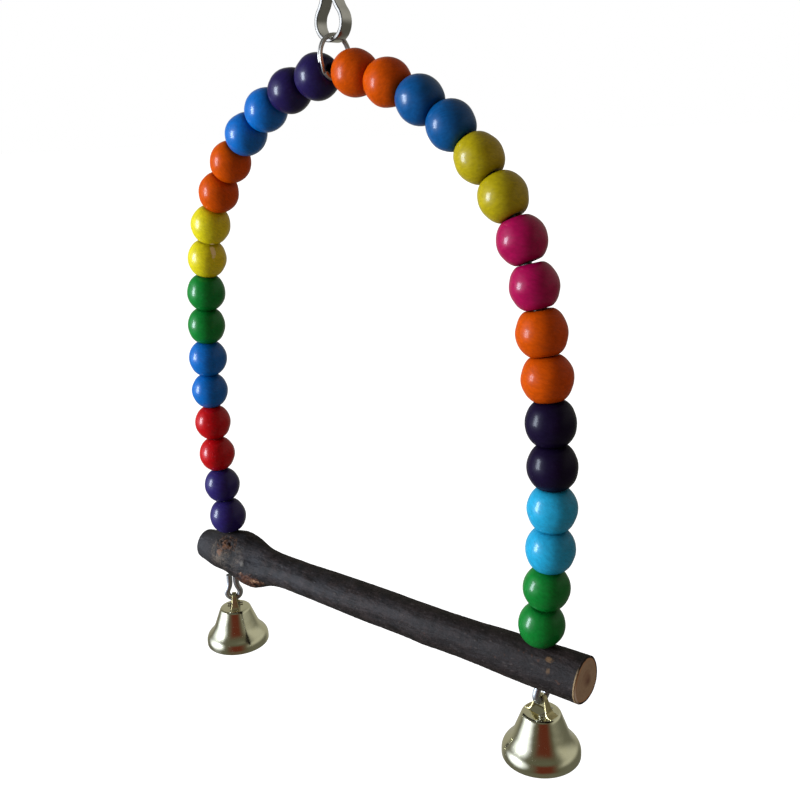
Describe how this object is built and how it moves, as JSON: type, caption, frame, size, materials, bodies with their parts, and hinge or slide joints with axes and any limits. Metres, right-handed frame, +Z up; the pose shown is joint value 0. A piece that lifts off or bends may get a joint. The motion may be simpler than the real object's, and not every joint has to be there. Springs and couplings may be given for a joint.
{
  "type": "bird swing",
  "caption": "Hanging bird swing: an arched wire strung with dyed wooden beads, a bark-covered branch perch, a bell below each end, and a split ring with a spring clip.",
  "frame": {"origin": "middle of the clip's upper loop, on the axis of the bar it hangs on", "axes": "+X along the perch, to the viewer's right in the picture; +Y away from the front, along the bar; +Z up"},
  "size_m": [0.182, 0.0283, 0.2693],
  "materials": {
    "clip_steel": "bright plated",
    "ring_steel": "bright plated",
    "wire_steel": "galvanised",
    "bead_purple": "dyed and lacquered",
    "bead_blue": "dyed and lacquered",
    "bead_orange": "dyed and lacquered",
    "bead_yellow": "dyed and lacquered",
    "bead_green": "dyed and lacquered",
    "bead_red": "dyed and lacquered",
    "bead_violet": "dyed and lacquered",
    "bead_navy": "dyed and lacquered",
    "bead_olive": "dyed and lacquered",
    "bead_pink": "dyed and lacquered",
    "bead_dark_purple": "dyed and lacquered",
    "bead_sky": "dyed and lacquered",
    "perch_wood": "natural bark",
    "bell_metal": "polished plated",
    "clapper_steel": "plain"
  },
  "bodies": {
    "clip": {"clip_strip": "clip_steel"},
    "gate": {"clip_gate": "clip_steel"},
    "ring": {"split_ring": "ring_steel"},
    "frame": {"arch_wire": "wire_steel", "perch": "perch_wood"},
    "bead_left_1": {"bead_left_1": "bead_purple"},
    "bead_left_2": {"bead_left_2": "bead_purple"},
    "bead_left_3": {"bead_left_3": "bead_blue"},
    "bead_left_4": {"bead_left_4": "bead_blue"},
    "bead_left_5": {"bead_left_5": "bead_orange"},
    "bead_left_6": {"bead_left_6": "bead_orange"},
    "bead_left_7": {"bead_left_7": "bead_yellow"},
    "bead_left_8": {"bead_left_8": "bead_yellow"},
    "bead_left_9": {"bead_left_9": "bead_green"},
    "bead_left_10": {"bead_left_10": "bead_green"},
    "bead_left_11": {"bead_left_11": "bead_blue"},
    "bead_left_12": {"bead_left_12": "bead_blue"},
    "bead_left_13": {"bead_left_13": "bead_red"},
    "bead_left_14": {"bead_left_14": "bead_red"},
    "bead_left_15": {"bead_left_15": "bead_violet"},
    "bead_left_16": {"bead_left_16": "bead_violet"},
    "bead_right_1": {"bead_right_1": "bead_orange"},
    "bead_right_2": {"bead_right_2": "bead_orange"},
    "bead_right_3": {"bead_right_3": "bead_navy"},
    "bead_right_4": {"bead_right_4": "bead_navy"},
    "bead_right_5": {"bead_right_5": "bead_olive"},
    "bead_right_6": {"bead_right_6": "bead_olive"},
    "bead_right_7": {"bead_right_7": "bead_pink"},
    "bead_right_8": {"bead_right_8": "bead_pink"},
    "bead_right_9": {"bead_right_9": "bead_orange"},
    "bead_right_10": {"bead_right_10": "bead_orange"},
    "bead_right_11": {"bead_right_11": "bead_dark_purple"},
    "bead_right_12": {"bead_right_12": "bead_dark_purple"},
    "bead_right_13": {"bead_right_13": "bead_sky"},
    "bead_right_14": {"bead_right_14": "bead_sky"},
    "bead_right_15": {"bead_right_15": "bead_green"},
    "bead_right_16": {"bead_right_16": "bead_green"},
    "bell_left": {"bell_left": "bell_metal"},
    "clapper_left": {"clapper_wire_left": "clapper_steel", "clapper_ball_left": "clapper_steel"},
    "bell_right": {"bell_right": "bell_metal"},
    "clapper_right": {"clapper_wire_right": "clapper_steel", "clapper_ball_right": "clapper_steel"}
  },
  "joints": [
    {"name": "gate_press", "type": "hinge", "parent": "clip", "child": "gate", "pos_m": [0.0019, 0, -0.01041], "axis": [0, -1, 0], "range_deg": [0, 12], "stiffness_Nm_per_rad": 0.3},
    {"name": "side_sway", "type": "hinge", "parent": "clip", "child": "ring", "pos_m": [0, 0, -0.02025], "axis": [0, 1, 0], "range_deg": [-25, 25]},
    {"name": "swing", "type": "hinge", "parent": "ring", "child": "frame", "pos_m": [0, 0, -0.03502], "axis": [1, 0, 0], "range_deg": [-40, 40]},
    {"name": "bead_left_1_spin", "type": "hinge", "parent": "frame", "child": "bead_left_1", "pos_m": [-0.00813, 0, -0.03559], "axis": [-0.983, 0, -0.1837], "continuous": true},
    {"name": "bead_left_2_spin", "type": "hinge", "parent": "frame", "child": "bead_left_2", "pos_m": [-0.02106, 0, -0.03912], "axis": [-0.9395, 0, -0.3425], "continuous": true},
    {"name": "bead_left_3_spin", "type": "hinge", "parent": "frame", "child": "bead_left_3", "pos_m": [-0.03323, 0, -0.04473], "axis": [-0.8706, 0, -0.492], "continuous": true},
    {"name": "bead_left_4_spin", "type": "hinge", "parent": "frame", "child": "bead_left_4", "pos_m": [-0.04431, 0, -0.05227], "axis": [-0.7781, 0, -0.6282], "continuous": true},
    {"name": "bead_left_5_spin", "type": "hinge", "parent": "frame", "child": "bead_left_5", "pos_m": [-0.05401, 0, -0.06151], "axis": [-0.6645, 0, -0.7473], "continuous": true},
    {"name": "bead_left_6_spin", "type": "hinge", "parent": "frame", "child": "bead_left_6", "pos_m": [-0.06206, 0, -0.07223], "axis": [-0.5328, 0, -0.8462], "continuous": true},
    {"name": "bead_left_7_spin", "type": "hinge", "parent": "frame", "child": "bead_left_7", "pos_m": [-0.06824, 0, -0.08412], "axis": [-0.3868, 0, -0.9222], "continuous": true},
    {"name": "bead_left_8_spin", "type": "hinge", "parent": "frame", "child": "bead_left_8", "pos_m": [-0.07239, 0, -0.09686], "axis": [-0.2302, 0, -0.9731], "continuous": true},
    {"name": "bead_left_9_spin", "type": "hinge", "parent": "frame", "child": "bead_left_9", "pos_m": [-0.0749, 0, -0.11], "axis": [-0.1628, 0, -0.9867], "continuous": true},
    {"name": "bead_left_10_spin", "type": "hinge", "parent": "frame", "child": "bead_left_10", "pos_m": [-0.07677, 0, -0.12323], "axis": [-0.1172, 0, -0.9931], "continuous": true},
    {"name": "bead_left_11_spin", "type": "hinge", "parent": "frame", "child": "bead_left_11", "pos_m": [-0.07803, 0, -0.13654], "axis": [-0.0714, 0, -0.9974], "continuous": true},
    {"name": "bead_left_12_spin", "type": "hinge", "parent": "frame", "child": "bead_left_12", "pos_m": [-0.07868, 0, -0.14989], "axis": [-0.0254, 0, -0.9997], "continuous": true},
    {"name": "bead_left_13_spin", "type": "hinge", "parent": "frame", "child": "bead_left_13", "pos_m": [-0.07871, 0, -0.16326], "axis": [0.0206, 0, -0.9998], "continuous": true},
    {"name": "bead_left_14_spin", "type": "hinge", "parent": "frame", "child": "bead_left_14", "pos_m": [-0.07813, 0, -0.17661], "axis": [0.0666, 0, -0.9978], "continuous": true},
    {"name": "bead_left_15_spin", "type": "hinge", "parent": "frame", "child": "bead_left_15", "pos_m": [-0.07693, 0, -0.18993], "axis": [0.1125, 0, -0.9937], "continuous": true},
    {"name": "bead_left_16_spin", "type": "hinge", "parent": "frame", "child": "bead_left_16", "pos_m": [-0.07512, 0, -0.20317], "axis": [0.1581, 0, -0.9874], "continuous": true},
    {"name": "bead_right_1_spin", "type": "hinge", "parent": "frame", "child": "bead_right_1", "pos_m": [0.00813, 0, -0.03559], "axis": [0.983, 0, -0.1837], "continuous": true},
    {"name": "bead_right_2_spin", "type": "hinge", "parent": "frame", "child": "bead_right_2", "pos_m": [0.02106, 0, -0.03912], "axis": [0.9395, 0, -0.3425], "continuous": true},
    {"name": "bead_right_3_spin", "type": "hinge", "parent": "frame", "child": "bead_right_3", "pos_m": [0.03323, 0, -0.04473], "axis": [0.8706, 0, -0.492], "continuous": true},
    {"name": "bead_right_4_spin", "type": "hinge", "parent": "frame", "child": "bead_right_4", "pos_m": [0.04431, 0, -0.05227], "axis": [0.7781, 0, -0.6282], "continuous": true},
    {"name": "bead_right_5_spin", "type": "hinge", "parent": "frame", "child": "bead_right_5", "pos_m": [0.05401, 0, -0.06151], "axis": [0.6645, 0, -0.7473], "continuous": true},
    {"name": "bead_right_6_spin", "type": "hinge", "parent": "frame", "child": "bead_right_6", "pos_m": [0.06206, 0, -0.07223], "axis": [0.5328, 0, -0.8462], "continuous": true},
    {"name": "bead_right_7_spin", "type": "hinge", "parent": "frame", "child": "bead_right_7", "pos_m": [0.06824, 0, -0.08412], "axis": [0.3868, 0, -0.9222], "continuous": true},
    {"name": "bead_right_8_spin", "type": "hinge", "parent": "frame", "child": "bead_right_8", "pos_m": [0.07239, 0, -0.09686], "axis": [0.2302, 0, -0.9731], "continuous": true},
    {"name": "bead_right_9_spin", "type": "hinge", "parent": "frame", "child": "bead_right_9", "pos_m": [0.0749, 0, -0.11], "axis": [0.1628, 0, -0.9867], "continuous": true},
    {"name": "bead_right_10_spin", "type": "hinge", "parent": "frame", "child": "bead_right_10", "pos_m": [0.07677, 0, -0.12323], "axis": [0.1172, 0, -0.9931], "continuous": true},
    {"name": "bead_right_11_spin", "type": "hinge", "parent": "frame", "child": "bead_right_11", "pos_m": [0.07803, 0, -0.13654], "axis": [0.0714, 0, -0.9974], "continuous": true},
    {"name": "bead_right_12_spin", "type": "hinge", "parent": "frame", "child": "bead_right_12", "pos_m": [0.07868, 0, -0.14989], "axis": [0.0254, 0, -0.9997], "continuous": true},
    {"name": "bead_right_13_spin", "type": "hinge", "parent": "frame", "child": "bead_right_13", "pos_m": [0.07871, 0, -0.16326], "axis": [-0.0206, 0, -0.9998], "continuous": true},
    {"name": "bead_right_14_spin", "type": "hinge", "parent": "frame", "child": "bead_right_14", "pos_m": [0.07813, 0, -0.17661], "axis": [-0.0666, 0, -0.9978], "continuous": true},
    {"name": "bead_right_15_spin", "type": "hinge", "parent": "frame", "child": "bead_right_15", "pos_m": [0.07693, 0, -0.18993], "axis": [-0.1125, 0, -0.9937], "continuous": true},
    {"name": "bead_right_16_spin", "type": "hinge", "parent": "frame", "child": "bead_right_16", "pos_m": [0.07512, 0, -0.20317], "axis": [-0.1581, 0, -0.9874], "continuous": true},
    {"name": "bell_left_swing", "type": "hinge", "parent": "frame", "child": "bell_left", "pos_m": [-0.07506, -0.001, -0.2406], "axis": [-0.6428, -0.766, 0], "range_deg": [-35, 35]},
    {"name": "clapper_left_swing", "type": "hinge", "parent": "bell_left", "child": "clapper_left", "pos_m": [-0.07651, 0.00023, -0.2443], "axis": [-0.6428, -0.766, 0], "range_deg": [-22, 38]},
    {"name": "bell_right_swing", "type": "hinge", "parent": "frame", "child": "bell_right", "pos_m": [0.0744, 0.00129, -0.23151], "axis": [0.1392, 0.9903, 0], "range_deg": [-35, 35]},
    {"name": "clapper_right_swing", "type": "hinge", "parent": "bell_right", "child": "clapper_right", "pos_m": [0.07628, 0.00102, -0.23521], "axis": [0.1392, 0.9903, 0], "range_deg": [-22, 38]}
  ]
}
